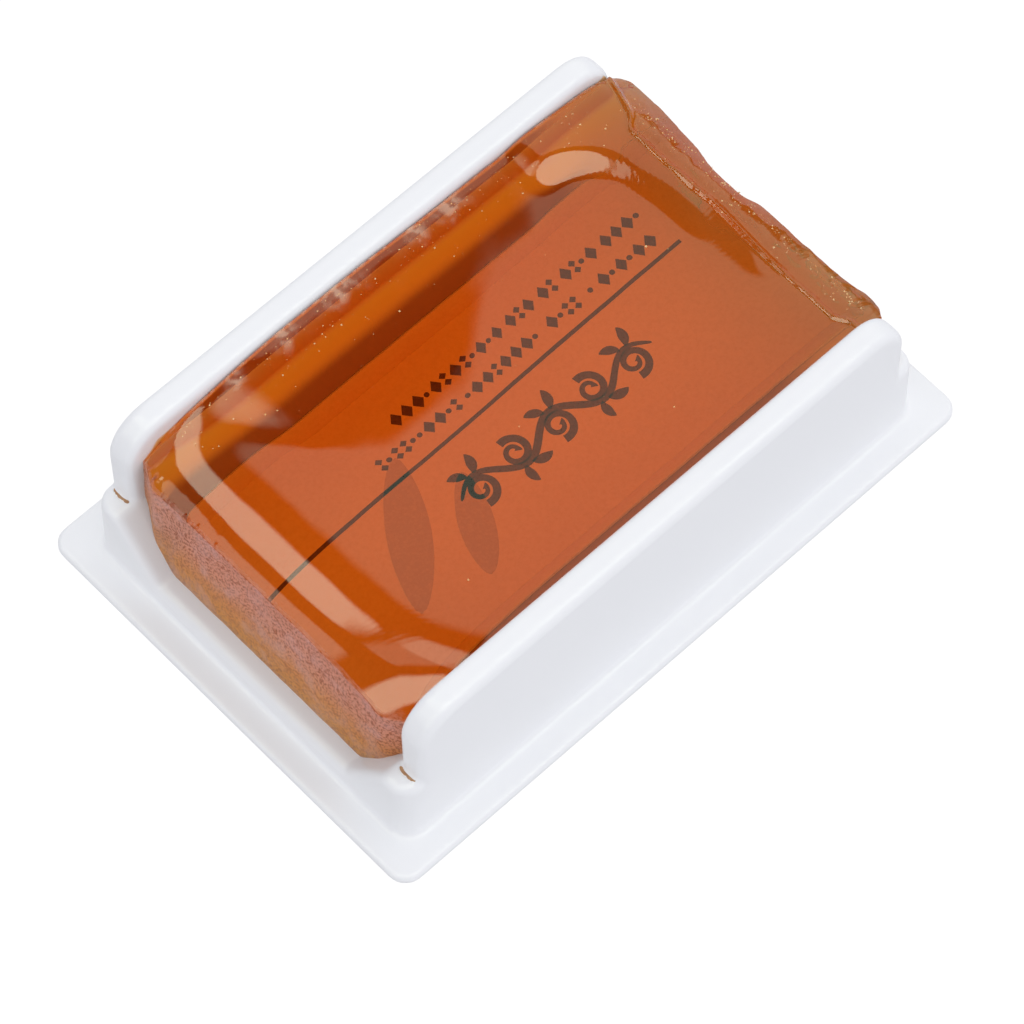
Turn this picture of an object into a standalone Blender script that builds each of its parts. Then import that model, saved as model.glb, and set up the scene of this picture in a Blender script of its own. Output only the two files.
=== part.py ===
"""Rosin cake for bowed strings, cast into an open plastic holder.

The holder is one moulding: a thin flange, a raised plinth, and two cheeks that guard the long sides
of the cake.  A printed card lies on the floor of its trough, and the rosin is cast on top of the card.
X runs along the cake, Y across it, Z up.  The origin is the centre of the flange's underside.
"""

import math

import bmesh
import bpy
from mathutils import Vector

MM = 0.001

# Flange, the thin plate that everything stands on (all sizes in millimetres).
FLANGE_LENGTH = 70.0
FLANGE_WIDTH = 47.5
FLANGE_THICKNESS = 1.0
FLANGE_CORNER = 2.0
FLANGE_EDGE = 0.3

# Plinth and cheeks share their outer walls, which lean in a little so the moulding can be released.
WALL_INSET = 3.1
WALL_CORNER = 2.0
WALL_DRAFT = 0.012
DECK_HEIGHT = 9.5
OVERALL_HEIGHT = 19.5
CHEEK_THICKNESS = 3.3
CHEEK_SETBACK = 2.3
CHEEK_CORNER = 4.2
SOFT_EDGE = 0.8

# Trough, open at both ends, with sloping sides up to the deck.
TROUGH_FLOOR = 3.0
TROUGH_FLOOR_WIDTH = 24.8

# Hollow underside.
SHELL = 1.5

# Narrow windows at the foot of each cheek's two ends.
SLOT_WIDTH = 0.35
SLOT_LENGTH = 1.9
SLOT_FROM_INSIDE = 0.5

# Printed card.
CARD_THICKNESS = 0.3
CARD_CORNER = 1.0

# Rosin block.  Its top is nearly level with the cheeks, climbs them a little and rolls down at the ends.
CAKE_HALF_LENGTH = 29.6
CAKE_END_DRAFT = 0.5
CAKE_SURFACE = 18.3
SIDE_CLIMB = 0.9
SIDE_CLIMB_REACH = 1.3
END_DROP = 2.9
END_DROP_REACH = 5.0
CORNER_DROP = 3.0
CORNER_REACH = 3.2
CHIP_CENTRE = 1.6
CHIP_DEPTH = 1.2
CHIP_REACH = 2.3

GAP = 0.3
OVERCUT = 5.0
CORNER_STEPS = 6
SHARP_ANGLE = math.radians(35)

# Worked out from the dimensions above.
FLANGE_X = FLANGE_LENGTH / 2
FLANGE_Y = FLANGE_WIDTH / 2
WALL_X = FLANGE_X - WALL_INSET
WALL_Y = FLANGE_Y - WALL_INSET
CHEEK_X = WALL_X - CHEEK_SETBACK
CHEEK_INNER_Y = WALL_Y - CHEEK_THICKNESS
TROUGH_Y = TROUGH_FLOOR_WIDTH / 2
CARD_BOTTOM = TROUGH_FLOOR + GAP
CARD_TOP = CARD_BOTTOM + CARD_THICKNESS
CAKE_BOTTOM = CARD_TOP + GAP


def clear_scene():
    for old in list(bpy.data.objects):
        bpy.data.objects.remove(old, do_unlink=True)


def make_material(name, colour, roughness, alpha=1.0):
    material = bpy.data.materials.new(name)
    material.use_nodes = True
    shader = material.node_tree.nodes["Principled BSDF"]
    shader.inputs["Base Color"].default_value = (*colour, 1.0)
    shader.inputs["Roughness"].default_value = roughness
    shader.inputs["Metallic"].default_value = 0.0
    shader.inputs["Alpha"].default_value = alpha
    return material


def add_object(name, mesh, material=None):
    part = bpy.data.objects.new(name, mesh)
    bpy.context.scene.collection.objects.link(part)
    if material:
        mesh.materials.append(material)
    return part


def mesh_from_rings(name, rings):
    """Closed mesh through a stack of rings of equal vertex count, given in millimetres."""
    mesh = bpy.data.meshes.new(name)
    bm = bmesh.new()
    loops = [[bm.verts.new(Vector(p) * MM) for p in ring] for ring in rings]
    count = len(loops[0])
    for low, high in zip(loops, loops[1:]):
        for i in range(count):
            j = (i + 1) % count
            bm.faces.new((low[i], low[j], high[j], high[i]))
    bm.faces.new(list(reversed(loops[0])))
    bm.faces.new(loops[-1])
    bmesh.ops.recalc_face_normals(bm, faces=bm.faces)
    bm.to_mesh(mesh)
    bm.free()
    return mesh


def rounded_rectangle(half_x, half_y, radius, z):
    """Ring of points round a rectangle with round corners, anticlockwise from the +X side."""
    points = []
    for quarter, (sx, sy) in enumerate(((1, 1), (-1, 1), (-1, -1), (1, -1))):
        for step in range(CORNER_STEPS + 1):
            angle = math.radians(90) * (quarter + step / CORNER_STEPS)
            x = sx * (half_x - radius) + radius * math.cos(angle)
            y = sy * (half_y - radius) + radius * math.sin(angle)
            points.append((x, y, z))
    return points


def arc(centre_x, centre_z, radius, start_degrees, end_degrees, steps):
    angles = [start_degrees + (end_degrees - start_degrees) * i / steps for i in range(steps + 1)]
    return [
        (centre_x + radius * math.cos(math.radians(a)), centre_z + radius * math.sin(math.radians(a)))
        for a in angles
    ]


def extrude_along_y(name, outline, half_width):
    """Prism across the holder from an outline of (x, z) points."""
    rings = [[(x, side * half_width, z) for x, z in outline] for side in (1, -1)]
    return mesh_from_rings(name, rings)


def extrude_along_x(name, outline, half_length):
    """Prism along the holder from an outline of (y, z) points."""
    rings = [[(side * half_length, y, z) for y, z in outline] for side in (-1, 1)]
    return mesh_from_rings(name, rings)


def make_tool(name, mesh):
    tool = add_object(name, mesh)
    tool.hide_render = True
    tool.display_type = "WIRE"
    return tool


def combine(part, tool, operation):
    modifier = part.modifiers.new(tool.name, "BOOLEAN")
    modifier.operation = operation
    modifier.solver = "EXACT"
    modifier.object = tool


def settle(part):
    """Replaces a part's modifiers by the mesh that they make."""
    bpy.context.view_layer.update()
    evaluated = part.evaluated_get(bpy.context.evaluated_depsgraph_get())
    part.data = bpy.data.meshes.new_from_object(evaluated)
    part.modifiers.clear()


def round_outer_edges(part, width):
    """Rounds every convex edge of a part, and leaves its inside corners and its base sharp."""
    bm = bmesh.new()
    bm.from_mesh(part.data)
    bmesh.ops.dissolve_limit(bm, angle_limit=0.001, verts=bm.verts, edges=bm.edges)
    base = min(vert.co.z for vert in bm.verts)
    sharp = []
    for edge in bm.edges:
        at_base = all(vert.co.z - base < 0.1 * MM for vert in edge.verts)
        if edge.is_convex and edge.calc_face_angle() > SHARP_ANGLE and not at_base:
            sharp.append(edge)
    bmesh.ops.bevel(bm, geom=sharp, offset=width * MM, segments=3, profile=0.5, affect="EDGES")
    bm.to_mesh(part.data)
    bm.free()


def flange_mesh():
    edge = FLANGE_EDGE
    levels = (
        (edge, 0.0),
        (0.0, edge),
        (0.0, FLANGE_THICKNESS - edge),
        (edge, FLANGE_THICKNESS),
    )
    rings = [
        rounded_rectangle(FLANGE_X - inset, FLANGE_Y - inset, FLANGE_CORNER - inset, z)
        for inset, z in levels
    ]
    return mesh_from_rings("flange", rings)


def wall_mesh():
    """Tall block whose four leaning sides become the outer faces of the plinth and the cheeks."""
    rings = []
    for z in (FLANGE_THICKNESS / 2, OVERALL_HEIGHT + OVERCUT):
        lean = WALL_DRAFT * z
        rings.append(rounded_rectangle(WALL_X - lean, WALL_Y - lean, WALL_CORNER, z))
    return mesh_from_rings("holder", rings)


def side_profile_mesh():
    """Side view of the holder: plinth to the deck, then the cheeks with their round top corners."""
    corner_x = CHEEK_X - CHEEK_CORNER
    corner_z = OVERALL_HEIGHT - CHEEK_CORNER
    bottom = -OVERCUT
    outline = [(-WALL_X - OVERCUT, bottom), (WALL_X + OVERCUT, bottom)]
    outline += [(WALL_X + OVERCUT, DECK_HEIGHT), (CHEEK_X, DECK_HEIGHT)]
    outline += arc(corner_x, corner_z, CHEEK_CORNER, 0, 90, 8)
    outline += arc(-corner_x, corner_z, CHEEK_CORNER, 90, 180, 8)
    outline += [(-CHEEK_X, DECK_HEIGHT), (-WALL_X - OVERCUT, DECK_HEIGHT)]
    return extrude_along_y("side_profile", outline, WALL_Y + OVERCUT)


def trough_outline():
    """Right half, then left half, of the space between the cheeks, as (y, z) points."""
    lean = WALL_DRAFT * (OVERALL_HEIGHT - DECK_HEIGHT)
    right = [
        (TROUGH_Y, TROUGH_FLOOR),
        (CHEEK_INNER_Y, DECK_HEIGHT),
        (CHEEK_INNER_Y + lean, OVERALL_HEIGHT + OVERCUT),
    ]
    left = [(-y, z) for y, z in reversed(right)]
    return right + left


def cavity_outline():
    """Hollow under the trough, a wall thickness away from the walls, the floor and its slopes."""
    slope_run = CHEEK_INNER_Y - TROUGH_Y
    slope_rise = DECK_HEIGHT - TROUGH_FLOOR
    slope_length = math.hypot(slope_run, slope_rise)
    ceiling = TROUGH_FLOOR - SHELL
    outer = WALL_Y - SHELL
    top = DECK_HEIGHT - SHELL
    shift = SHELL * slope_length / slope_rise
    low = TROUGH_Y + shift + (ceiling - TROUGH_FLOOR) * slope_run / slope_rise
    high = TROUGH_Y + shift + (top - TROUGH_FLOOR) * slope_run / slope_rise
    right = [(outer, -OVERCUT), (outer, top), (high, top), (low, ceiling)]
    left = [(-y, z) for y, z in reversed(right)]
    return right + left


def build_holder():
    holder = add_object("holder", wall_mesh(), make_material("white_plastic", (0.86, 0.87, 0.90), 0.35))
    combine(holder, make_tool("side_profile", side_profile_mesh()), "INTERSECT")
    trough = extrude_along_x("trough", trough_outline(), FLANGE_X + OVERCUT)
    combine(holder, make_tool("trough", trough), "DIFFERENCE")
    settle(holder)
    round_outer_edges(holder, SOFT_EDGE)
    combine(holder, make_tool("flange", flange_mesh()), "UNION")
    cavity = extrude_along_x("cavity", cavity_outline(), WALL_X - SHELL)
    combine(holder, make_tool("cavity", cavity), "DIFFERENCE")
    for index, (sx, sy) in enumerate(((-1, -1), (-1, 1), (1, -1), (1, 1))):
        combine(holder, make_tool(f"slot_{index + 1}", slot_mesh(sx, sy)), "DIFFERENCE")
    settle(holder)
    holder.data.shade_smooth()
    holder.data.set_sharp_from_angle(angle=SHARP_ANGLE)
    return holder


def slot_mesh(sx, sy):
    """Cutter for the window at the foot of one cheek end, down into the hollow underside."""
    near = CHEEK_X + SLOT_WIDTH * 0.5
    inner = CHEEK_INNER_Y + SLOT_FROM_INSIDE
    rings = []
    for z in (DECK_HEIGHT - SHELL - 1.0, DECK_HEIGHT + 1.0):
        xs = (sx * (near - SLOT_WIDTH / 2), sx * (near + SLOT_WIDTH / 2))
        ys = (sy * inner, sy * (inner + SLOT_LENGTH))
        rings.append([(xs[0], ys[0], z), (xs[1], ys[0], z), (xs[1], ys[1], z), (xs[0], ys[1], z)])
    return mesh_from_rings("slot", rings)


def build_card():
    half_x = CAKE_HALF_LENGTH - GAP
    half_y = TROUGH_Y - GAP
    rings = [rounded_rectangle(half_x, half_y, CARD_CORNER, z) for z in (CARD_BOTTOM, CARD_TOP)]
    mesh = mesh_from_rings("label_card", rings)
    return add_object("label_card", mesh, make_material("printed_card", (0.90, 0.88, 0.82), 0.6))


def side_limit(z):
    """How far out the rosin reaches at a height, a gap inside the trough and the cheeks."""
    slope = (CHEEK_INNER_Y - TROUGH_Y) / (DECK_HEIGHT - TROUGH_FLOOR)
    if z < DECK_HEIGHT:
        limit = TROUGH_Y + (z - TROUGH_FLOOR) * slope
    else:
        limit = CHEEK_INNER_Y
    return limit - GAP * math.hypot(1.0, slope)


def surface_height(x, y):
    """Top of the cake: level, climbing the cheeks, rolling down at the ends and more so at one corner."""
    to_side = side_limit(OVERALL_HEIGHT) - abs(y)
    to_end = CAKE_HALF_LENGTH - abs(x)
    height = CAKE_SURFACE
    height += SIDE_CLIMB * math.exp(-to_side / SIDE_CLIMB_REACH)
    height -= END_DROP * math.exp(-to_end / END_DROP_REACH)
    corner = math.hypot(x + CAKE_HALF_LENGTH, y + CHEEK_INNER_Y)
    height -= CORNER_DROP * math.exp(-((corner / CORNER_REACH) ** 2))
    return height


def end_position(sign, y, z):
    """X of an end face.  The +X one stands a little proud and has a chip out of it."""
    rise = (z - CAKE_BOTTOM) / (CAKE_SURFACE - CAKE_BOTTOM)
    if sign < 0:
        return -CAKE_HALF_LENGTH + CAKE_END_DRAFT * rise
    chip = CHIP_DEPTH * math.exp(-(((y - CHIP_CENTRE) / CHIP_REACH) ** 2))
    return CAKE_HALF_LENGTH + (CAKE_END_DRAFT - chip) * rise


def cake_section(t):
    """Ring of points across the cake at a fraction t of its length."""
    nominal_x = CAKE_HALF_LENGTH * (2.0 * t - 1.0)
    flat = [(-side_limit(CAKE_BOTTOM), CAKE_BOTTOM), (side_limit(CAKE_BOTTOM), CAKE_BOTTOM)]
    wide = side_limit(DECK_HEIGHT)
    across = 20
    ys = [wide * math.sin(math.radians(90.0 - 180.0 * i / across)) for i in range(across + 1)]
    outline = flat + [(wide, DECK_HEIGHT)]
    outline += [(y, surface_height(nominal_x, y)) for y in ys]
    outline += [(-wide, DECK_HEIGHT)]
    points = []
    for y, z in outline:
        start = end_position(-1, y, z)
        end = end_position(1, y, z)
        points.append((start + (end - start) * t, y, z))
    return points


def build_cake():
    along = 24
    fractions = [0.5 - 0.5 * math.cos(math.pi * i / along) for i in range(along + 1)]
    mesh = mesh_from_rings("rosin_block", [cake_section(t) for t in fractions])
    cake = add_object("rosin_block", mesh, make_material("amber_rosin", (0.62, 0.20, 0.03), 0.15, 0.9))
    mesh.shade_smooth()
    mesh.set_sharp_from_angle(angle=SHARP_ANGLE)
    return cake


def main():
    clear_scene()
    build_holder()
    build_card()
    build_cake()


main()
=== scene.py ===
import math
import random

import bpy
import numpy as np
from mathutils import Matrix, Vector


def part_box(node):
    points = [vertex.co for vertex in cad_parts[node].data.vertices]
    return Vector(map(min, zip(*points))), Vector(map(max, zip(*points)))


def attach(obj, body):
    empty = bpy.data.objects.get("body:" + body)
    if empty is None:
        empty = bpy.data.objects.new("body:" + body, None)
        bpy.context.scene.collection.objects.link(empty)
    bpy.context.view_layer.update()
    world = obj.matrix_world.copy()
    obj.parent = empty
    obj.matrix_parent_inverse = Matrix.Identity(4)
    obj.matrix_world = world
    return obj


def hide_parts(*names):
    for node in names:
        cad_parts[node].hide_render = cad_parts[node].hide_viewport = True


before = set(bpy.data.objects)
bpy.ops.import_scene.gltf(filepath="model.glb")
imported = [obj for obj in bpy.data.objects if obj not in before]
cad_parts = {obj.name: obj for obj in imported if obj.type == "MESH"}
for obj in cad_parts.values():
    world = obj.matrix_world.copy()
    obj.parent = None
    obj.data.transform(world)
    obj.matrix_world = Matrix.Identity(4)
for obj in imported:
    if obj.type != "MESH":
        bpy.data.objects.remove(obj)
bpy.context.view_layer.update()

# X runs along the cake and Y across it; the near end is at low X and the far cheek at high Y.
# All sizes are in millimetres unless a comment says otherwise, and MM turns them into metres.
MM = 0.001


def cad_corners(name):
    """Lowest and highest corner of a CAD node, in millimetres."""
    return [[round(value / MM, 2) for value in corner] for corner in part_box(name)]


_, (_, HOLDER_HALF_WIDTH, HOLDER_TOP) = cad_corners("holder")
(_, _, CARD_UNDERSIDE), (_, CARD_HALF_WIDTH, _) = cad_corners("label_card")

# The holder.  The CAD keeps its solids CAD_GAP apart, so the trough is that much larger than the card.
CAD_GAP = 0.3
LEDGE = 3.1
CHEEK_THICKNESS = 3.3
CHEEK_HEIGHT = 10.0
CHEEK_Y = round(HOLDER_HALF_WIDTH - LEDGE - CHEEK_THICKNESS, 2)
DECK = round(HOLDER_TOP - CHEEK_HEIGHT, 2)
TROUGH_FLOOR = round(CARD_UNDERSIDE - CAD_GAP, 2)
TROUGH_HALF_WIDTH = round(CARD_HALF_WIDTH + CAD_GAP, 2)
WINDOW_X = 29.77  # middle of the narrow windows at the cheeks' feet
SHELL_VOXEL = 0.24  # of the remesh that softens the moulding's edges

# The rosin block, which wets the plastic.  Its top lies at SURFACE and rolls down at both ends.
WETTING = 0.04
BLOCK_BOTTOM = TROUGH_FLOOR - WETTING
NEAR_FACE = -29.7
FAR_FACE = 29.95
NEAR_EDGE = -29.2
FAR_EDGE = 30.0
SURFACE = 18.2
FIRST_GUESS_OF_TOP = 16.0
END_DROP = 2.3
END_REACH = 3.4
ROSIN_IOR = 1.54
ABSORPTION = (5.6, 58.5, 160.0)  # of red, green and blue, per metre

# Grid of the block's skin: steps along and across, and rows from the bottom to the deck and on to the top.
STEPS_ALONG = 330
STEPS_ACROSS = 200
ROWS_TO_DECK = 22
ROWS = ROWS_TO_DECK + 34

# The card and its print.
LABEL_BOTTOM = TROUGH_FLOOR - 0.01
LABEL_TOP = TROUGH_FLOOR + 0.22
CARD_FLAP = 2.3
CARD_NEAR_END = -29.25
CARD_FAR_END = 29.35
INK_BOTTOM = LABEL_TOP - 0.01
INK_TOP = LABEL_TOP + 0.02

# Milky spots beside the far cheek: place along it and half length.
MILKY_SPOTS = ((-17.6, 0.8), (-11.6, 1.2), (-5.0, 1.9), (4.2, 0.9), (8.3, 1.5))

# Crumbs on the top: how many, and the shares that lie by the far cheek and by the far end.
CRUMBS = 640
CRUMBS_BY_CHEEK = 0.36
CRUMBS_BY_END = 0.57

# Camera, fitted to the outline of the holder.
CAMERA_AZIMUTH = math.radians(-43.434)
CAMERA_ELEVATION = math.radians(62.633)
CAMERA_DISTANCE = 475.37
CAMERA_TARGET = (-4.996, -5.788, 8.0)
CAMERA_LENS = 186.85
CAMERA_SENSOR = 36.0
CAMERA_RANGE = (10.0, 20000.0)

# The studio.
FLOOR_HALF_SIDE = 4000.0
MIRROR_COLOUR = (0.95, 1.0, 0.76)
MIRROR_DARK = 0.03
FILL_COLOUR = (0.985, 0.99, 1.03)
FILL_SLOPE = (0.12, -0.12, 0.24)
FILL_LEVEL = 0.80

# White windows that only mirror rays see: x range and y range of the direction, softness, strength.
SOFTBOXES = (
    ((0.14, 0.95), (0.250, 0.95), 0.022, 1.20),
    ((0.52, 0.95), (-0.30, 0.250), 0.022, 1.20),
    ((-0.36, -0.05), (0.283, 0.62), 0.020, 4.5),
    ((-0.80, -0.55), (0.23, 0.62), 0.020, 2.0),
    ((-0.36, 0.06), (0.13, 0.245), 0.015, 1.25),
    ((-0.95, -0.10), (-0.17, 0.06), 0.020, 4.7),
    ((-0.10, 0.46), (-0.40, 0.06), 0.020, 4.7),
    ((-0.12, 0.05), (0.06, 0.25), 0.020, 1.5),
)


# ---------------------------------------------------------------- helpers


def smooth(edge0, edge1, value):
    """Smooth step from 0 at the first edge to 1 at the second."""
    t = np.clip((value - edge0) / (edge1 - edge0), 0.0, 1.0)
    return t * t * (3.0 - 2.0 * t)


def bell(value, centre, width):
    """Smooth hump of height 1."""
    return np.exp(-(((value - centre) / width) ** 2))


class Waves:
    """Smooth random field of two variables, a sum of sine waves with fixed random directions."""

    def __init__(self, seed, count, shortest, longest):
        draw = np.random.default_rng(seed)
        angle = draw.uniform(0, math.tau, count)
        length = np.exp(draw.uniform(math.log(shortest), math.log(longest), count))
        self.kx = np.cos(angle) * math.tau / length
        self.ky = np.sin(angle) * math.tau / length
        self.phase = draw.uniform(0, math.tau, count)
        self.gain = np.sqrt(length / longest) / math.sqrt(count)

    def __call__(self, x, y):
        total = 0.0
        for kx, ky, phase, gain in zip(self.kx, self.ky, self.phase, self.gain):
            total = total + gain * np.sin(kx * x + ky * y + phase)
        return total


EDGE_WAVES = Waves(3, 14, 0.8, 7.0)
SURFACE_WAVES = Waves(5, 18, 3.0, 16.0)
JAG_WAVES = Waves(9, 30, 0.35, 1.6)
LUMP_WAVES = Waves(12, 16, 1.6, 6.0)
FRACTURE_WAVES = Waves(21, 40, 0.6, 2.6)


def add_mesh(name, verts, faces, material, smooth_faces=False):
    """Object made of vertices in millimetres."""
    mesh = bpy.data.meshes.new(name)
    mesh.from_pydata([tuple(v) for v in np.array(verts) * MM], [], faces)
    mesh.update()
    obj = bpy.data.objects.new(name, mesh)
    bpy.context.scene.collection.objects.link(obj)
    mesh.materials.append(material)
    if smooth_faces:
        mesh.shade_smooth()
    return obj


def set_attribute(obj, name, values):
    """Number on each vertex that a material can read."""
    attribute = obj.data.attributes.new(name, "FLOAT", "POINT")
    attribute.data.foreach_set("value", values.astype(np.float32))


# ---------------------------------------------------------------- node helpers


def feed(tree, value, socket):
    """Gives a socket a number, a colour or another node's output."""
    if isinstance(value, (int, float)):
        socket.default_value = value
    elif isinstance(value, tuple):
        socket.default_value = (*value, 1.0)
    else:
        tree.links.new(value, socket)


def node(tree, kind, inputs=None, **settings):
    """New node with its settings, and its inputs by name."""
    made = tree.nodes.new(kind)
    for key, value in settings.items():
        setattr(made, key, value)
    for key, value in (inputs or {}).items():
        feed(tree, value, made.inputs[key])
    return made


def new_material(name):
    """Empty material: itself, its node tree, its output node and the position on the object, in metres."""
    material = bpy.data.materials.new(name)
    material.use_nodes = True
    tree = material.node_tree
    tree.nodes.clear()
    out = node(tree, "ShaderNodeOutputMaterial")
    position = node(tree, "ShaderNodeTexCoord").outputs["Object"]
    return material, tree, out, position


def math_node(tree, operation, *values):
    made = node(tree, "ShaderNodeMath", operation=operation)
    for socket, value in zip(made.inputs, values):
        feed(tree, value, socket)
    return made.outputs[0]


def combine(tree, operation, result, *others):
    """Several values through one operation, from left to right."""
    for other in others:
        result = math_node(tree, operation, result, other)
    return result


def times(tree, *values):
    return combine(tree, "MULTIPLY", *values)


def plus(tree, *values):
    return combine(tree, "ADD", *values)


def step_node(tree, value, low, high, start=0.0, end=1.0):
    """Smooth step of a value between two edges."""
    made = tree.nodes.new("ShaderNodeMapRange")
    made.interpolation_type = "SMOOTHSTEP"
    names = ("Value", "From Min", "From Max", "To Min", "To Max")
    for name, given in zip(names, (value, low, high, start, end)):
        feed(tree, given, made.inputs[name])
    return made.outputs["Result"]


def ramp(tree, value, low, high, start=0.0, end=1.0):
    """Smooth step of a position, in metres, between two places in millimetres."""
    return step_node(tree, value, low * MM, high * MM, start, end)


def fade(tree, value, low, high):
    """The same step the other way round, from 1 to 0."""
    return ramp(tree, value, low, high, 1.0, 0.0)


def noise_node(tree, vector, scale, detail=3.0, roughness=0.5):
    inputs = {"Vector": vector, "Scale": scale, "Detail": detail, "Roughness": roughness}
    return node(tree, "ShaderNodeTexNoise", inputs).outputs["Fac"]


def mix_colour(tree, factor, a, b):
    made = node(tree, "ShaderNodeMix", data_type="RGBA")
    for number, value in ((0, factor), (6, a), (7, b)):
        feed(tree, value, made.inputs[number])
    return made.outputs[2]


def mix_shaders(tree, factor, a, b):
    return node(tree, "ShaderNodeMixShader", {0: factor, 1: a, 2: b}).outputs[0]


def bump_node(tree, height, strength, distance):
    """Normal for a bump whose depth is in millimetres."""
    inputs = {"Height": height, "Strength": strength, "Distance": distance * MM}
    return node(tree, "ShaderNodeBump", inputs).outputs["Normal"]


def split(tree, vector):
    """The x, y and z of a vector."""
    return node(tree, "ShaderNodeSeparateXYZ", {"Vector": vector}).outputs


# ---------------------------------------------------------------- materials of the holder and the card


def level_on_wall(tree, x, y, z):
    """Height on a cheek, shifted so that the edge of the rosin is at the same height all along it."""
    dip = times(tree, plus(tree, x, 26.0 * MM), -0.9)
    level = plus(tree, z, math_node(tree, "MAXIMUM", dip, 0.0))
    rise = ramp(tree, x, -26.0, -12.0)
    ease = ramp(tree, x, -4.0, 9.0, 1.0, 0.6)
    far_side = ramp(tree, y, -1.0, 1.0, 0.0, 1.1 * MM)
    climb = times(tree, rise, ease, fade(tree, x, 14.0, 24.0), far_side)
    return math_node(tree, "SUBTRACT", level, climb)


def behind_rosin(tree, x, y, z):
    """One where the trough and the cheeks are seen through the rosin, and nothing elsewhere."""
    along = times(tree, ramp(tree, x, -28.0, -27.6), fade(tree, x, 29.0, 29.4))
    middle = times(tree, ramp(tree, x, -24.5, -23.5), fade(tree, x, 25.0, 26.0))
    far_side = times(tree, ramp(tree, y, -1.0, 1.0), ramp(tree, x, -27.2, -26.2))
    covered = combine(tree, "MAXIMUM", middle, far_side, fade(tree, z, 13.0, 14.0))
    return times(tree, along, covered, fade(tree, math_node(tree, "ABSOLUTE", y), 17.55, 17.6))


def painted_shade_under_rosin(tree, position, colour):
    """Painted light and shade on the trough's slopes above the card and on the inside of the cheeks, where
    the rosin bends and holds back the light.
    """
    x, y, z = split(tree, position)
    inside = behind_rosin(tree, x, y, z)
    foot = times(tree, ramp(tree, z, 3.1, 3.4), fade(tree, z, 6.4, 8.2), inside, fade(tree, x, 19.0, 26.5))
    slope = times(tree, ramp(tree, z, 6.4, 8.2), fade(tree, z, 8.8, 9.8), inside)
    level = level_on_wall(tree, x, y, z)
    wall = times(tree, ramp(tree, z, 8.8, 10.0), fade(tree, level, 17.1, 17.5), inside)
    # Painted shade at the foot of the slopes, a painted golden cast higher up and painted brown shade on the
    # cheeks' inner walls.
    colour = mix_colour(tree, foot, colour, (0.42, 0.31, 0.36))
    colour = mix_colour(tree, slope, colour, (0.93, 0.90, 0.46))
    return mix_colour(tree, wall, colour, (0.80, 0.50, 0.22))


def white_plastic():
    material, tree, out, position = new_material("white_plastic")
    cloud = noise_node(tree, position, 90.0, 4.0)
    grain = noise_node(tree, position, 1400.0, 2.0)
    colour = mix_colour(tree, cloud, (0.915, 0.925, 0.94), (0.935, 0.94, 0.95))
    shader = node(tree, "ShaderNodeBsdfPrincipled", {
        "Base Color": painted_shade_under_rosin(tree, position, colour),
        "Roughness": step_node(tree, cloud, 0.3, 0.7, 0.30, 0.42),
        "IOR": 1.46,
        "Normal": bump_node(tree, grain, 0.12, 0.05),
    })
    feed(tree, shader.outputs[0], out.inputs["Surface"])
    return material


def paper():
    material, tree, out, position = new_material("printed_card")
    fibre = noise_node(tree, position, 2600.0, 5.0, 0.65)
    cloud = noise_node(tree, position, 160.0)
    light = mix_colour(tree, cloud, (0.86, 0.82, 0.76), (0.92, 0.89, 0.84))
    specks = step_node(tree, fibre, 0.35, 0.75, 0.0, 0.35)
    shader = node(tree, "ShaderNodeBsdfPrincipled", {
        "Base Color": mix_colour(tree, specks, light, (0.72, 0.66, 0.58)),
        "Roughness": 0.8,
        "Specular IOR Level": 0.1,
        "Normal": bump_node(tree, fibre, 0.3, 0.03),
    })
    feed(tree, shader.outputs[0], out.inputs["Surface"])
    return material


def ink(name, dark, light):
    """Printing ink, a little mottled where the card's fibres show through."""
    material, tree, out, position = new_material(name)
    mottle = noise_node(tree, position, 3200.0, 3.0, 0.6)
    shader = node(tree, "ShaderNodeBsdfPrincipled", {
        "Base Color": mix_colour(tree, step_node(tree, mottle, 0.4, 0.8), dark, light),
        "Roughness": 0.7,
        "Specular IOR Level": 0.1,
    })
    feed(tree, shader.outputs[0], out.inputs["Surface"])
    return material


# ---------------------------------------------------------------- materials of the rosin


def clear_glass(tree, position):
    """The glossy body, with a barely visible ripple."""
    ripple = noise_node(tree, position, 700.0, 2.0)
    normal = bump_node(tree, ripple, 0.06, 0.04)
    glass = node(tree, "ShaderNodeBsdfGlass", {"IOR": ROSIN_IOR, "Roughness": 0.02, "Normal": normal})
    return glass.outputs[0]


def powdery_skin(tree, position):
    """Skin of the near end face: powder over frosted glass, pink near the top and orange low down."""
    grain = noise_node(tree, position, 3800.0, 3.5, 0.62)
    patch = noise_node(tree, position, 420.0, 3.0, 0.6)
    low = fade(tree, split(tree, position)["Z"], 4.5, 12.5)
    skin = mix_colour(tree, low, (0.70, 0.32, 0.22), (0.66, 0.28, 0.03))
    skin = mix_colour(tree, step_node(tree, grain, 0.47, 0.60), skin, (0.30, 0.07, 0.02))
    skin = mix_colour(tree, step_node(tree, patch, 0.45, 0.75, 0.0, 0.40), skin, (0.68, 0.46, 0.46))
    powder = node(tree, "ShaderNodeBsdfPrincipled", {
        "Base Color": skin,
        "Roughness": 0.55,
        "Specular IOR Level": 0.15,
        "Normal": bump_node(tree, grain, 0.7, 0.12),
    })
    frosted = node(tree, "ShaderNodeBsdfGlass", {
        "IOR": ROSIN_IOR,
        "Roughness": 0.45,
        "Normal": bump_node(tree, grain, 0.5, 0.1),
    })
    cover = step_node(tree, low, 0.0, 1.0, 0.80, 0.62)
    return mix_shaders(tree, cover, frosted.outputs[0], powder.outputs[0])


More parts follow.
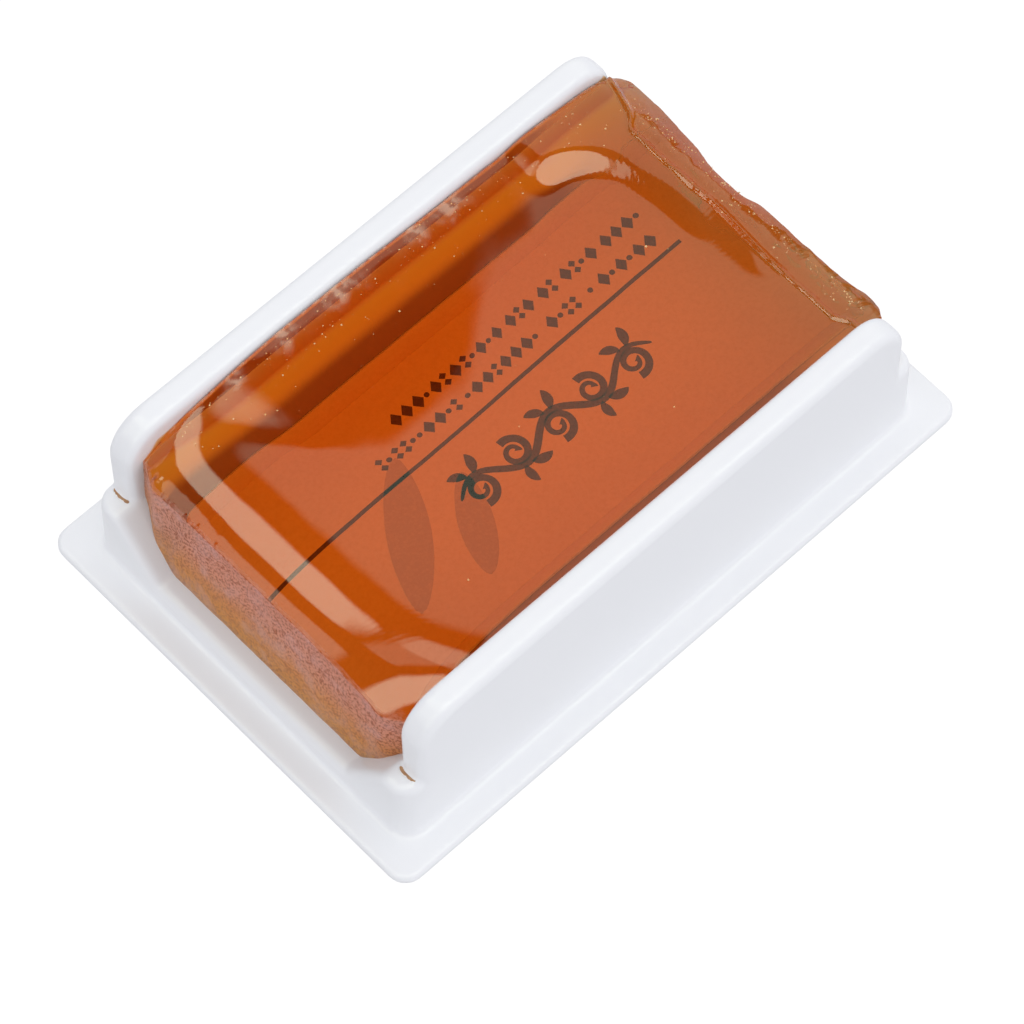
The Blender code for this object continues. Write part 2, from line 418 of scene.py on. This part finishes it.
def see_through(tree):
    """Plain see-through rosin for shadow and diffuse rays, clear on level ones; its dark tint on upright
    faces is painted shade for the side light that refraction would hold back.
    """
    normal = node(tree, "ShaderNodeNewGeometry").outputs["True Normal"]
    level = step_node(tree, math_node(tree, "ABSOLUTE", split(tree, normal)["Z"]), 0.5, 0.9)
    tint = mix_colour(tree, level, (0.30, 0.30, 0.30), (0.98, 0.98, 0.98))
    return node(tree, "ShaderNodeBsdfTransparent", {"Color": tint}).outputs[0]


def amber_volume(tree):
    """Absorption that turns the body amber, the deeper the darker."""
    strength = max(ABSORPTION)
    colour = tuple(1.0 - share / strength for share in ABSORPTION)
    return node(tree, "ShaderNodeVolumeAbsorption", {"Color": colour, "Density": strength}).outputs[0]


def rosin():
    """Clear amber; the vertices' "frost" brings in the powdery skin and their "dust" the milky spots.

    Shadow and diffuse rays pass straight through, because without caustics glass would keep the light out.
    """
    material, tree, out, position = new_material("amber_rosin")
    frost = node(tree, "ShaderNodeAttribute", attribute_name="frost").outputs["Fac"]
    dust = node(tree, "ShaderNodeAttribute", attribute_name="dust").outputs["Fac"]
    body = mix_shaders(tree, frost, clear_glass(tree, position), powdery_skin(tree, position))
    milk = node(tree, "ShaderNodeBsdfDiffuse", {"Color": (0.72, 0.46, 0.32)})
    body = mix_shaders(tree, dust, body, milk.outputs[0])
    path = node(tree, "ShaderNodeLightPath").outputs
    through = math_node(tree, "MAXIMUM", path["Is Shadow Ray"], path["Is Diffuse Ray"])
    feed(tree, mix_shaders(tree, through, body, see_through(tree)), out.inputs["Surface"])
    feed(tree, amber_volume(tree), out.inputs["Volume"])
    return material


def speckled(name, scale, dark, light, roughness):
    """Opaque rosin whose colour wavers between two tones; for the windows' slivers the dark tones also stand
    as painted shade.
    """
    material, tree, out, position = new_material(name)
    tone = mix_colour(tree, noise_node(tree, position, scale, 2.0), dark, light)
    shader = node(tree, "ShaderNodeBsdfPrincipled", {"Base Color": tone, "Roughness": roughness})
    feed(tree, shader.outputs[0], out.inputs["Surface"])
    return material


# ---------------------------------------------------------------- shape of the rosin block


def side_profile(z):
    """How far out the rosin reaches at a height: the trough's slope, then the cheek."""
    slope = (CHEEK_Y - TROUGH_HALF_WIDTH) / (DECK - TROUGH_FLOOR)
    low = TROUGH_HALF_WIDTH + (z - TROUGH_FLOOR) * slope
    return np.minimum(low, CHEEK_Y) + WETTING


def near_end(y, z):
    """X of the flat end face, which leans in towards the top and is cut back at its corners."""
    lean = 0.5 * (z - TROUGH_FLOOR) / 13.0
    cut = 1.3 * smooth(14.3, 17.6, np.abs(y))
    return NEAR_FACE + lean + cut + 0.025 * EDGE_WAVES(y, z * 0.6)


def far_end(y, z):
    """X of the broken end face: two lobes with a chip between them."""
    lobe = 1.0 * smooth(5.5, 13.5, y)
    chip = 0.95 * smooth(-1.9, 0.1, y) * smooth(7.2, 3.0, y)
    knob = 0.60 * bell(y, -14.9, 2.0)
    corners = 0.5 * smooth(-16.2, -17.6, y) + 1.5 * smooth(16.0, 18.0, y)
    rough = 0.05 * EDGE_WAVES(y * 1.3 + 40.0, z * 0.8) + 0.025 * FRACTURE_WAVES(y, z * 1.2)
    return FAR_FACE + lobe - chip + knob - corners + rough


def top_height(x, y):
    """Height of the rosin's free surface."""
    height = SURFACE + rise_to_far_cheek(x, y) + contact_edge(x, y)
    near_reach = END_REACH - 1.2 * smooth(4.0, 20.0, y)
    height = height - END_DROP * np.exp((NEAR_EDGE - x) / near_reach)
    height = height - END_DROP * np.exp((x - FAR_EDGE) / END_REACH)
    height = height - corner_dips(x, y) + 0.75 * far_corner_rim(x, y) + near_edge_lumps(x, y)
    height = height + 0.006 * SURFACE_WAVES(x, y)
    return height + ridges(x, y) + fracture_edge(x, y)


def rise_to_far_cheek(x, y):
    """The surface stays level near the camera side and climbs gently towards the far cheek."""
    slope, bend = 0.085, 1.2
    start = 1.7 + 14.5 * smooth(-11.0, -26.0, x)
    start = start + 7.0 * smooth(-4.0, 9.0, x) + 3.0 * smooth(12.0, 16.0, x)
    return slope * bend * np.logaddexp(0.0, (y - start) / bend) * smooth(24.0, 14.0, x)


def contact_edge(x, y):
    """Thin meniscus on the near cheek; on the far one the surface is torn, lumpy and a little sunk."""
    to_side = CHEEK_Y - np.abs(y)
    torn = JAG_WAVES(x, np.sign(y) * 30.0)
    lumps = LUMP_WAVES(x, np.sign(y) * 50.0)
    far_side = smooth(-1.0, 1.0, y)
    edge = (0.03 + 0.03 * torn * far_side) * np.exp(-to_side / 0.16)
    sunk = 0.42 * far_side * smooth(-27.0, -20.0, x) * np.exp(-to_side / 0.20)
    return edge + 0.018 * lumps * far_side * np.exp(-to_side / 0.7) - sunk


def corner_dips(x, y):
    """The two corners of the near end lie lower than its middle."""
    to_near_cheek_corner = (x + 29.6 + y + CHEEK_Y) / math.sqrt(2.0)
    to_far_cheek_corner = np.hypot(x - NEAR_EDGE, y - 20.5)
    return 0.065 * np.exp((10.6 - to_near_cheek_corner) / 2.7) + 2.6 * bell(to_far_cheek_corner, 0.0, 4.6)


def near_edge_lumps(x, y):
    """One lump at the far cheek's corner of the near end, and small beads along the edge beside it."""
    lump = 0.26 * bell(np.hypot(x + 28.5, y - 14.9), 0.0, 0.50)
    beads = smooth(4.0, 9.0, y) * smooth(17.0, 15.5, y) * np.exp((NEAR_EDGE - x) / 0.5)
    return lump + 0.16 * beads * EDGE_WAVES(y * 2.0, x * 0.7)


def far_corner_rim(x, y):
    """Rim raised round a shallow dish beside the far corner and on along the far end."""
    dish_x, dish_y, dish_radius = 16.9, 6.9, 4.1
    across = np.where(x > dish_x, x - dish_x, 0.3 * (x - dish_x))
    from_dish = np.hypot(across, np.maximum(y - dish_y, 0.0))
    straight = smooth(8.5, 3.0, y)
    outer = 7.7 + 1.8 * straight
    fading = smooth(-9.5, 1.5, y) * smooth(14.3, 18.8, x) * smooth(31.0, 27.0, x)
    return smooth(dish_radius, outer, from_dish) * fading * (1.0 + 0.40 * straight)


def fracture_edge(x, y):
    """Fine crease where the smooth surface gives way to the broken far end."""
    line = 25.9 + 0.9 * smooth(-14.6, -16.4, y) + 0.10 * EDGE_WAVES(y * 0.5, 3.0)
    line = line + 1.5 * smooth(11.0, 13.0, y) + 0.35 * np.maximum(y - 12.6, 0.0)
    beyond = smooth(0.0, 0.8, x - line)
    fold = 0.20 * (1.0 + 1.2 * smooth(11.5, 14.0, y))
    return fold * bell(x, line, 0.30) + 0.022 * beyond * FRACTURE_WAVES(x + 9.0, y)


def ridges(x, y):
    """Shallow skin prints pressed into the surface beside the far end and in the near corner."""
    print_x, print_y = 15.0, 1.0
    across = np.hypot(x - print_x, y - print_y)
    angle = np.arctan2(y - print_y, x - print_x)
    first = smooth(7.2, 8.6, across) * smooth(12.6, 11.2, across)
    first = first * smooth(-0.75, -0.35, angle) * smooth(1.35, 0.95, angle)
    pattern = np.sin(angle * 118.0 + 2.2 * np.sin(across * 0.9))
    second = bell(x, -21.8, 2.6) * bell(y, -10.4, 2.4)
    swirl = np.sin(np.hypot(x + 28.0, y + 20.0) * 12.5)
    return 0.0048 * first * pattern + 0.003 * second * swirl


# ---------------------------------------------------------------- mesh of the rosin block


def place(along, across, row):
    """Position of points on the block's skin, from 0..1 along it, -1..1 across it and the row.

    The top's height depends on where the end faces meet it and they on its height: three rounds settle both.
    """
    y_top = across * (CHEEK_Y + WETTING)
    top = FIRST_GUESS_OF_TOP
    for _ in range(3):
        x_top = near_end(y_top, top) * (1 - along) + far_end(y_top, top) * along
        top = top_height(x_top, y_top)
    lower = np.minimum(row / ROWS_TO_DECK, 1.0)
    upper = np.maximum((row - ROWS_TO_DECK) / (ROWS - ROWS_TO_DECK), 0.0)
    z = BLOCK_BOTTOM + (DECK - BLOCK_BOTTOM) * lower + (top - DECK) * upper
    y = across * side_profile(z)
    x = near_end(y, z) * (1 - along) + far_end(y, z) * along
    return np.stack([x, y, z], axis=-1)


class BlockSkin:
    """Closed grid on the sides of a warped box.  Sides that meet share the vertices on their edge."""

    def __init__(self):
        along = np.linspace(0.0, 1.0, STEPS_ALONG + 1)
        across = np.linspace(-1.0, 1.0, STEPS_ACROSS + 1)
        self.along = 0.5 * along + 0.5 * (0.5 - 0.5 * np.cos(math.pi * along))
        self.across = 0.75 * across + 0.25 * np.sin(across * math.pi / 2)
        self.index = {}
        self.verts = []
        self.faces = []

    def add_side(self, us, vs, ws, flip):
        """Adds one side as quads, from the steps along, the steps across and the rows of its points."""
        us, vs, ws = np.broadcast_arrays(us, vs, ws)
        points = place(self.along[us], self.across[vs], ws)
        table = np.empty(us.shape, int)
        for spot in np.ndindex(us.shape):
            key = (us[spot], vs[spot], ws[spot])
            if key not in self.index:
                self.index[key] = len(self.verts)
                self.verts.append(points[spot])
            table[spot] = self.index[key]
        a, b, c, d = table[:-1, :-1], table[1:, :-1], table[1:, 1:], table[:-1, 1:]
        order = (a, d, c, b) if flip else (a, b, c, d)
        self.faces.extend(zip(*[corner.ravel().tolist() for corner in order]))

    def add_bottom(self):
        """Closes the skin with one flat face."""
        ring = [(u, 0, 0) for u in range(STEPS_ALONG)]
        ring += [(STEPS_ALONG, v, 0) for v in range(STEPS_ACROSS)]
        ring += [(u, STEPS_ACROSS, 0) for u in range(STEPS_ALONG, 0, -1)]
        ring += [(0, v, 0) for v in range(STEPS_ACROSS, 0, -1)]
        self.faces.append(tuple(self.index[key] for key in reversed(ring)))


def block_skin():
    skin = BlockSkin()
    u, v, w = [np.arange(steps + 1) for steps in (STEPS_ALONG, STEPS_ACROSS, ROWS)]
    skin.add_side(u[:, None], v, ROWS, False)
    skin.add_side(u[:, None], 0, w, False)
    skin.add_side(u[:, None], STEPS_ACROSS, w, True)
    skin.add_side(0, v[:, None], w, True)
    skin.add_side(STEPS_ALONG, v[:, None], w, False)
    skin.add_bottom()
    return skin


def milky_patches(x, y):
    """Cloudy spots beside the far cheek, where the rosin has come away from the plastic."""
    band = 0.0
    for centre, half in MILKY_SPOTS:
        band = band + bell(x, centre, half)
    beside = smooth(15.0 - 0.5 * np.sin(x * 1.9), 16.2, y)
    drops = smooth(-0.25, 0.25, FRACTURE_WAVES(x * 1.2, y * 0.9))
    edge = smooth(16.95, 17.2, y) * smooth(0.0, 0.4, JAG_WAVES(x, 30.0)) * smooth(-27.0, -22.0, x)
    cloud = np.minimum(band, 1.0) * beside * (0.25 + 0.75 * drops) * 0.62
    return np.clip(cloud + 0.5 * edge, 0.0, 1.0)


def powdered(x, y, step, on_top):
    """Powder on the near end face, a little on the edge above it and some in the near corner."""
    face = np.where(step == 0, 1.0, 0.0)
    edge = np.where((step > 0) & (step < 4) & on_top, 0.35, 0.0)
    mist = 0.8 * smooth(1.9, 0.5, np.hypot(x + 29.3, y + 16.4)) * on_top
    return np.maximum(np.maximum(face, edge), mist)


def rosin_body(material):
    skin = block_skin()
    obj = add_mesh("rosin_body", skin.verts, skin.faces, material, True)
    x, y, _ = np.array(skin.verts).T
    step, _, row = np.array(list(skin.index)).T
    on_top = row == ROWS
    set_attribute(obj, "frost", powdered(x, y, step, on_top))
    set_attribute(obj, "dust", milky_patches(x, y) * on_top)
    return obj


# ---------------------------------------------------------------- small pieces of rosin


def sliver(draw, side_x, side_y, first):
    """Four-sided strip along one window, as vertices and faces; the first vertex gets that number."""
    steps, start, length = 12, 0.45, 1.95
    low, high = DECK - 0.4, DECK + 0.16
    verts, faces = [], []
    for i in range(steps + 1):
        t = i / steps
        y = side_y * (CHEEK_Y + start + length * t)
        x = side_x * (WINDOW_X + 0.05 * draw.uniform(-1.0, 1.0))
        half = 0.06 + 0.20 * math.sin(math.pi * t) ** 0.5
        verts += [(x - half, y, low), (x + half, y, low), (x + half, y, high), (x - half, y, high)]
    for i in range(steps):
        a, b = first + 4 * i, first + 4 * i + 4
        faces += [(a + j, b + j, b + (j + 1) % 4, a + (j + 1) % 4) for j in range(4)]
    end = first + 4 * steps
    faces += [(first, first + 1, first + 2, first + 3), (end + 3, end + 2, end + 1, end)]
    if side_y < 0:
        faces = [tuple(reversed(face)) for face in faces]
    return verts, faces


def window_rosin_and_painted_shade(material):
    """Slivers in the narrow windows at the foot of each cheek's two ends: rosin that has run in, darkened as
    painted shade of the narrow slit.
    """
    verts, faces = [], []
    draw = random.Random(5)
    for side_x in (-1, 1):
        for side_y in (-1, 1):
            more_verts, more_faces = sliver(draw, side_x, side_y, len(verts))
            verts += more_verts
            faces += more_faces
    return add_mesh("window_rosin_and_painted_shade", verts, faces, material)


def crumb_place(draw):
    zone = draw.random()
    if zone < CRUMBS_BY_CHEEK:
        return draw.uniform(-25.0, 26.0), 16.9 - abs(draw.gauss(0.0, 2.3))
    if zone < CRUMBS_BY_CHEEK + CRUMBS_BY_END:
        return 29.3 - abs(draw.gauss(0.0, 1.3)), draw.uniform(-16.0, 15.0)
    return draw.uniform(-26.0, 26.0), draw.uniform(-15.0, 15.0)


def crumbs(material):
    """Fine chips of rosin lying on the surface, thickest by the far cheek and the broken end."""
    draw = random.Random(29)
    verts, faces = [], []
    for _ in range(CRUMBS):
        x, y = crumb_place(draw)
        size = 0.028 + 0.075 * draw.random() ** 4
        z = float(top_height(np.array(x), np.array(y)))
        turn = draw.uniform(0.0, math.tau)
        ring = [turn, turn + draw.uniform(1.2, 1.9), turn + math.pi, turn + draw.uniform(4.3, 5.0)]
        first = len(verts)
        verts.append((x, y, z + size * draw.uniform(0.5, 1.0)))
        for angle in ring:
            reach = size * draw.uniform(0.7, 1.4)
            verts.append((x + reach * math.cos(angle), y + reach * math.sin(angle), z))
        verts.append((x, y, z - size * 0.6))
        for i in range(4):
            a, b = first + 1 + i, first + 1 + (i + 1) % 4
            faces += [(first, a, b), (first + 5, b, a)]
    return add_mesh("rosin_crumbs", verts, faces, material)


# ---------------------------------------------------------------- card


def trough_slope():
    """Angle of the trough's sloping sides."""
    return math.atan2(DECK - TROUGH_FLOOR, CHEEK_Y - TROUGH_HALF_WIDTH)


def card_section():
    """Lower outline of the card from side to side: y, z and whether the point lies on the trough's slope."""
    slope = trough_slope()
    flat = TROUGH_HALF_WIDTH - 0.12
    fold_y, fold_z = flat + 0.05, LABEL_BOTTOM + 0.02
    half = [(flat - 0.1, LABEL_BOTTOM, False), (fold_y, fold_z, True)]
    for step in range(1, 5):
        reach = CARD_FLAP * step / 4
        half.append((fold_y + reach * math.cos(slope), fold_z + reach * math.sin(slope), True))
    return [(-y, z, bent) for y, z, bent in reversed(half)] + half


def card_sheet(material):
    """Card that lines the trough's floor and bends a little way up both slopes."""
    section, slope = card_section(), trough_slope()
    n = len(section)
    stations = 60
    verts, faces = [], []
    for i in range(stations + 1):
        for thickness in (0.0, LABEL_TOP - LABEL_BOTTOM):
            for y, z, bent in section:
                end = min(CARD_FAR_END, float(far_end(np.array(y), np.array(3.0))) - 0.45)
                x = CARD_NEAR_END + (end - CARD_NEAR_END) * i / stations
                inwards = thickness * math.sin(slope) if bent else 0.0
                upwards = thickness * math.cos(slope) if bent else thickness
                verts.append((x, y - math.copysign(inwards, y), z + upwards))
    ring = 2 * n
    for i in range(stations):
        a, b = i * ring, (i + 1) * ring
        for j in range(n - 1):
            faces.append((a + n + j, b + n + j, b + n + j + 1, a + n + j + 1))
            faces.append((a + j, a + j + 1, b + j + 1, b + j))
        faces.append((a, b, b + n, a + n))
        faces.append((a + n - 1, a + 2 * n - 1, b + 2 * n - 1, b + n - 1))
    last = stations * ring
    for j in range(n - 1):
        faces.append((j, n + j, n + j + 1, j + 1))
        faces.append((last + j, last + j + 1, last + n + j + 1, last + n + j))
    return add_mesh("printed_card", verts, faces, material)


# ---------------------------------------------------------------- print on the card


class Print:
    """Collects closed, very thin shapes that lie on the card."""

    def __init__(self):
        self.verts = []
        self.faces = []

    def outline(self, points):
        """Flat shape inside an outline of (x, y) points."""
        n = len(points)
        first = len(self.verts)
        for z in (INK_BOTTOM, INK_TOP):
            self.verts += [(x, y, z) for x, y in points]
        for i in range(n):
            j = (i + 1) % n
            self.faces.append((first + i, first + j, first + n + j, first + n + i))
        self.faces.append(tuple(first + i for i in range(n - 1, -1, -1)))
        self.faces.append(tuple(first + n + i for i in range(n)))

    def stroke(self, path, widths):
        """Ribbon along a path of (x, y) points with a width at each point."""
        path = np.array(path, float)
        widths = np.array(widths, float)
        tangent = np.gradient(path, axis=0)
        tangent /= np.linalg.norm(tangent, axis=1)[:, None] + 1e-9
        side = np.stack([-tangent[:, 1], tangent[:, 0]], axis=1)
        left = path + side * widths[:, None] / 2
        right = path - side * widths[:, None] / 2
        n = len(path)
        first = len(self.verts)
        for z in (INK_BOTTOM, INK_TOP):
            self.verts += [(x, y, z) for x, y in left]
            self.verts += [(x, y, z) for x, y in right]
        low_l, low_r, up_l, up_r = first, first + n, first + 2 * n, first + 3 * n
        for i in range(n - 1):
            self.faces.append((up_r + i, up_r + i + 1, up_l + i + 1, up_l + i))
            self.faces.append((low_l + i, low_l + i + 1, low_r + i + 1, low_r + i))
            self.faces.append((low_r + i, low_r + i + 1, up_r + i + 1, up_r + i))
            self.faces.append((low_l + i + 1, low_l + i, up_l + i, up_l + i + 1))
        self.faces.append((low_l, low_r, up_r, up_l))
        self.faces.append((low_r + n - 1, low_l + n - 1, up_l + n - 1, up_r + n - 1))

    def build(self, name, material):
        return add_mesh(name, self.verts, self.faces, material)


def rounded_bar(x0, x1, y, height):
    radius = height / 2
    points = []
    for centre, start in ((x1 - radius, -90), (x0 + radius, 90)):
        for step in range(7):
            angle = math.radians(start + 180 * step / 6)
            points.append((centre + radius * math.cos(angle), y + radius * math.sin(angle)))
    return points


def lozenge(x, y, half_x, half_y):
    return [(x + half_x, y), (x, y + half_y), (x - half_x, y), (x, y - half_y)]


def rule_line(material):
    """Plain line along the card, very slightly bent."""
    shapes = Print()
    path = [(-26.7, 2.75), (-10.0, 3.0), (10.0, 3.28), (25.0, 3.5)]
    shapes.stroke(path, [0.40] * len(path))
    return shapes.build("label_rule", material)


def small_rows(material):
    """Two rows of plain lozenges and dots where a label has its small print."""
    shapes = Print()
    draw = random.Random(11)
    for y, start, end in ((5.35, -10.9, 23.4), (8.15, -7.2, 23.8)):
        x = start
        while x < end:
            kind = draw.choice(("lozenge", "lozenge", "lozenge", "small", "dot", "space"))
            if kind == "lozenge":
                shapes.outline(lozenge(x + 0.62, y, 0.62, 0.80))
                x += 1.36
            elif kind == "small":
                for lift in (-0.42, 0.42):
                    shapes.outline(lozenge(x + 0.40, y + lift, 0.40, 0.38))
                x += 0.96
            elif kind == "dot":
                shapes.outline(rounded_bar(x, x + 0.56, y, 0.54))
                x += 0.84
            else:
                x += 0.5
    return shapes.build("label_small_ornament", material)


def curl(x, y, side, turn):
    """Spiral that winds inwards from the stem, as a path with widths."""
    path, widths = [], []
    steps = 60
    for i in range(steps + 1):
        t = i / steps
        radius = 1.55 - 1.15 * t
        angle = turn + side * t * 1.35 * math.tau
        path.append((x + radius * math.cos(angle), y + radius * math.sin(angle)))
        widths.append(0.80 - 0.45 * t + 0.35 * bell(t, 1.0, 0.06))
    return path, widths


def leaf(x, y, heading, length, width):
    """Pointed leaf, as a path with widths."""
    path, widths = [], []
    steps = 16
    for i in range(steps + 1):
        t = i / steps
        bend = heading + 0.5 * t
        path.append((x + length * t * math.cos(bend), y + length * t * math.sin(bend)))
        widths.append(0.04 + width * math.sin(math.pi * t) ** 0.8)
    return path, widths


def flourish(material):
    """Running scroll: a waving stem with a curl in every bend and leaves outside it."""
    shapes = Print()
    start, length, middle, bends = -7.9, 23.6, -2.35, 5
    stem, widths = [], []
    steps = 160
    for i in range(steps + 1):
        t = i / steps
        stem.append((start + length * t, middle + 1.25 * math.sin(math.pi * bends * t)))
        widths.append(0.12 + 0.62 * math.sin(math.pi * t) ** 0.35)
    shapes.stroke(stem, widths)
    for bend in range(bends):
        side = 1 if bend % 2 == 0 else -1
        x = start + length * (bend + 0.5) / bends
        shapes.stroke(*curl(x - 0.25, middle - 0.35 * side, side, -1.9 * side))
        top = middle + 1.35 * side
        shapes.stroke(*leaf(x - 0.4, top, side * 2.1, 1.9, 0.85))
        shapes.stroke(*leaf(x + 0.3, top, side * 0.75, 2.1, 0.95))
    return shapes.build("label_flourish", material)


def tint_leaves(material):
    """Two broad pale leaves printed across the rule."""
    shapes = Print()
    steps = 40
    for cx, cy, length, tilt, width in ((-13.4, -1.4, 15.5, 1.00, 3.9), (-8.4, -4.8, 10.5, 1.08, 3.2)):
        path, widths = [], []
        for i in range(steps + 1):
            along = length * (i / steps - 0.5)
            path.append((cx + along * math.cos(tilt), cy + along * math.sin(tilt)))
            widths.append(0.08 + width * math.sin(math.pi * i / steps) ** 0.6)
        shapes.stroke(path, widths)
    return shapes.build("label_tint", material)


# ---------------------------------------------------------------- holder


def holder_shell(material):
    """The moulding with its edges and inside corners softened."""
    obj = bpy.data.objects.new("holder_shell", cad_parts["holder"].data.copy())
    bpy.context.scene.collection.objects.link(obj)
    remesh = obj.modifiers.new("remesh", "REMESH")
    remesh.mode = "VOXEL"
    remesh.voxel_size = SHELL_VOXEL * MM
    relax = obj.modifiers.new("relax", "SMOOTH")
    relax.factor = 0.5
    relax.iterations = 5
    bpy.context.view_layer.update()
    made = bpy.data.meshes.new_from_object(obj.evaluated_get(bpy.context.evaluated_depsgraph_get()))
    obj.modifiers.clear()
    obj.data = made
    made.materials.clear()
    made.materials.append(material)
    made.shade_smooth()
    return obj


# ---------------------------------------------------------------- studio


def floor_material():
    """Nearly white to the camera and plain pale grey to all other rays."""
    material, tree, out, position = new_material("studio_floor")
    cloud = noise_node(tree, position, 6.0, 2.0)
    grey = mix_colour(tree, cloud, (0.70, 0.70, 0.71), (0.73, 0.73, 0.73))
    matt = node(tree, "ShaderNodeBsdfDiffuse", {"Color": grey}).outputs[0]
    glow = node(tree, "ShaderNodeEmission", {"Strength": 0.95}).outputs[0]
    lift = node(tree, "ShaderNodeEmission", {"Strength": 0.15}).outputs[0]
    bright = node(tree, "ShaderNodeAddShader", {0: mix_shaders(tree, 0.85, matt, glow), 1: lift})
    from_camera = node(tree, "ShaderNodeLightPath").outputs["Is Camera Ray"]
    feed(tree, mix_shaders(tree, from_camera, matt, bright.outputs[0]), out.inputs["Surface"])
    return material


def studio_floor():
    side = FLOOR_HALF_SIDE
    corners = [(-side, -side, 0), (side, -side, 0), (side, side, 0), (-side, side, 0)]
    add_mesh("studio_floor", corners, [(0, 1, 2, 3)], floor_material())


def window(tree, x, y, x_range, y_range, soft):
    """Soft-edged rectangle with rounded corners, in the x and y of the direction."""
    radius = 0.4 * min(x_range[1] - x_range[0], y_range[1] - y_range[0], 0.16)
    outside = []
    for value, (start, end) in ((x, x_range), (y, y_range)):
        off = math_node(tree, "ABSOLUTE", math_node(tree, "SUBTRACT", value, (start + end) / 2))
        off = math_node(tree, "SUBTRACT", off, (end - start) / 2 - radius)
        off = math_node(tree, "MAXIMUM", off, 0.0)
        outside.append(times(tree, off, off))
    away = math_node(tree, "SQRT", plus(tree, *outside))
    return step_node(tree, away, radius - soft, radius + soft, 1.0, 0.0)


def mirrored_sky(tree, x, y, z):
    """What mirror rays see: dark, with the soft white windows above the horizon."""
    boxes = []
    for x_range, y_range, soft, strength in SOFTBOXES:
        boxes.append(times(tree, window(tree, x, y, x_range, y_range, soft), strength))
    above = step_node(tree, z, 0.0, 0.12)
    light = plus(tree, times(tree, plus(tree, *boxes), above), MIRROR_DARK)
    return node(tree, "ShaderNodeBackground", {"Color": MIRROR_COLOUR, "Strength": light}).outputs[0]


def filling_sky(tree, directions):
    """What lights the scene: nearly even, a little brighter from above and from one side."""
    slopes = [times(tree, direction, slope) for direction, slope in zip(directions, FILL_SLOPE)]
    light = plus(tree, *slopes, FILL_LEVEL)
    return node(tree, "ShaderNodeBackground", {"Color": FILL_COLOUR, "Strength": light}).outputs[0]


def studio_light():
    world = bpy.data.worlds.new("studio")
    bpy.context.scene.world = world
    world.use_nodes = True
    tree = world.node_tree
    tree.nodes.clear()
    out = node(tree, "ShaderNodeOutputWorld")
    directions = split(tree, node(tree, "ShaderNodeTexCoord").outputs["Generated"])
    path = node(tree, "ShaderNodeLightPath").outputs
    mirror, fill = mirrored_sky(tree, *directions), filling_sky(tree, directions)
    plain = node(tree, "ShaderNodeBackground", {"Color": (1.0, 1.0, 1.0)}).outputs[0]
    lit = mix_shaders(tree, path["Is Glossy Ray"], fill, mirror)
    feed(tree, mix_shaders(tree, path["Is Camera Ray"], lit, plain), out.inputs["Surface"])


def camera():
    a, e = CAMERA_AZIMUTH, CAMERA_ELEVATION
    back = Vector((math.sin(a) * math.cos(e), -math.cos(a) * math.cos(e), math.sin(e)))
    right = Vector((math.cos(a), math.sin(a), 0.0))
    up = back.cross(right)
    data = bpy.data.cameras.new("camera")
    data.lens = CAMERA_LENS
    data.sensor_width = CAMERA_SENSOR
    data.clip_start, data.clip_end = [distance * MM for distance in CAMERA_RANGE]
    view = bpy.data.objects.new("camera", data)
    bpy.context.scene.collection.objects.link(view)
    eye = (Vector(CAMERA_TARGET) + back * CAMERA_DISTANCE) * MM
    turn = Matrix((right, up, back)).transposed().to_4x4()
    view.matrix_world = Matrix.Translation(eye) @ turn
    bpy.context.scene.camera = view


def render_settings():
    """Plain colours, no caustics, and enough bounces for light that crosses the rosin."""
    scene = bpy.context.scene
    scene.view_settings.view_transform = "Standard"
    scene.view_settings.look = "None"
    scene.cycles.caustics_refractive = False
    scene.cycles.caustics_reflective = False
    scene.cycles.blur_glossy = 0.0
    scene.cycles.max_bounces = 16
    scene.cycles.transmission_bounces = 14
    scene.cycles.glossy_bounces = 8
    scene.cycles.transparent_max_bounces = 24


# ---------------------------------------------------------------- build

dark_ink = ink("label_ink", (0.15, 0.105, 0.10), (0.20, 0.15, 0.14))
soft_ink = ink("label_tint", (0.62, 0.56, 0.56), (0.70, 0.64, 0.62))
# Dark brown of the window slivers: rosin colour with painted shade of the slit.
window_tones_with_painted_shade = speckled("window_rosin_and_painted_shade", 1500.0, (0.30, 0.13, 0.05), (0.55, 0.33, 0.17), 0.4)
chips = speckled("rosin_crumbs", 1800.0, (0.85, 0.42, 0.08), (0.95, 0.80, 0.50), 0.25)

# Each piece with its material slot and the CAD node whose place it takes, if any.
pieces = (
    (holder_shell(white_plastic()), "white_plastic", "holder"),
    (card_sheet(paper()), "printed_card", "label_card"),
    (rule_line(dark_ink), "printed_card", None),
    (small_rows(dark_ink), "printed_card", None),
    (flourish(dark_ink), "printed_card", None),
    (tint_leaves(soft_ink), "printed_card", None),
    (rosin_body(rosin()), "amber_rosin", "rosin_block"),
    (window_rosin_and_painted_shade(window_tones_with_painted_shade), "amber_rosin", None),
    (crumbs(chips), "amber_rosin", None),
)
for piece, slot, cad_node in pieces:
    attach(piece, "root")
    if cad_node:
        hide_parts(cad_node)

studio_floor()
studio_light()
camera()
render_settings()
